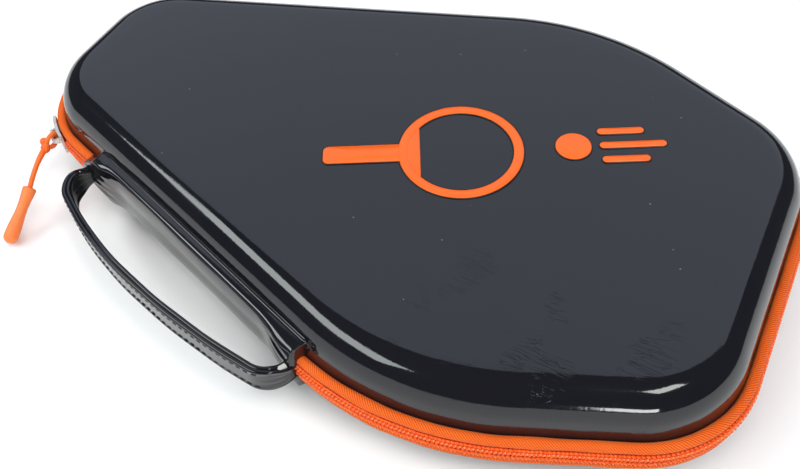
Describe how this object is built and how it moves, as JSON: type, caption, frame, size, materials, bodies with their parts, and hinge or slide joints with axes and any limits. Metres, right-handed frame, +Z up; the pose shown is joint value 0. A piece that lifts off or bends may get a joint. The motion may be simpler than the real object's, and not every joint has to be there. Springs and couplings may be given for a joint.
{
  "type": "table tennis paddle case",
  "caption": "Hard clamshell case for a table tennis paddle, with a zip round its rounded six-sided outline, a folding spine and a carry handle.",
  "frame": {"origin": "centre of the flat face that the closed case rests on", "axes": "+Z up through the closed case, +X toward the wide head end, -Y toward the spine and handle"},
  "size_m": [0.3022, 0.2027, 0.0452],
  "materials": {
    "glossy_skin": "Black moulded polyurethane skin with a wet gloss",
    "foam": "Dense closed-cell foam",
    "lining": "Short-pile knitted lining",
    "binding": "Woven binding tape",
    "zip_tape": "Bright orange twill tape",
    "zip_coil": "Red-orange nylon coil",
    "metal": "Nickel-plated zip metal",
    "badge": "Orange printed film",
    "mesh": "Fine nylon net",
    "elastic": "Woven elastic",
    "core": "Pale stiffener",
    "thread": "Grey sewing thread",
    "pull": "Orange moulded rubber"
  },
  "bodies": {
    "base": {"base_shell": "glossy_skin", "base_foam": "foam", "base_lining": "lining", "base_rim_binding": "binding", "base_zip_tape": "zip_tape", "base_zip_coil": "zip_coil", "base_zip_stops": "metal", "base_spine_piping": "glossy_skin", "grip_band_near_blade": "elastic", "grip_band_at_end": "elastic", "band_patches": "glossy_skin"},
    "spine": {"spine_cover": "glossy_skin", "spine_lining": "lining"},
    "lid": {"lid_shell": "glossy_skin", "lid_foam": "foam", "lid_lining": "lining", "lid_rim_binding": "binding", "lid_zip_tape": "zip_tape", "lid_zip_coil": "zip_coil", "lid_zip_stops": "metal", "lid_spine_piping": "glossy_skin", "lid_badge": "badge", "pocket_mesh": "mesh", "pocket_binding": "binding", "pocket_elastic": "elastic"},
    "handle": {"handle_strap": "glossy_skin", "handle_core": "core", "handle_stitching": "thread"},
    "slider": {"slider_body": "metal", "slider_crown": "metal"},
    "pull": {"pull_cord": "pull", "pull_grip": "pull"}
  },
  "joints": [
    {"name": "spine_fold", "type": "hinge", "parent": "base", "child": "spine", "pos_m": [-0.05006, -0.07383, 0.0159], "axis": [0.949, -0.3152, 0], "range_deg": [0, 90]},
    {"name": "lid_fold", "type": "hinge", "parent": "spine", "child": "lid", "pos_m": [-0.05006, -0.07383, 0.0289], "axis": [0.949, -0.3152, 0], "range_deg": [0, 90]},
    {"name": "zip_run", "type": "hinge", "parent": "base", "child": "slider", "pos_m": [-0.1131, -0.01148, 0.0224], "axis": [0, 0, 1], "range_deg": [-42, 0]},
    {"name": "handle_swing", "type": "hinge", "parent": "spine", "child": "handle", "pos_m": [-0.04962, -0.0725, 0.0224], "axis": [0.949, -0.3152, 0], "range_deg": [-12, 12]},
    {"name": "pull_swing", "type": "hinge", "parent": "slider", "child": "pull", "pos_m": [-0.138, -0.04336, 0.0224], "axis": [0, 0, 1], "range_deg": [-100, 20]}
  ],
  "couplings": [
    {"joint": "spine_fold", "follows": "lid_fold", "ratio": 1},
    {"joint": "zip_run", "follows": "lid_fold", "ratio": -0.46667}
  ]
}
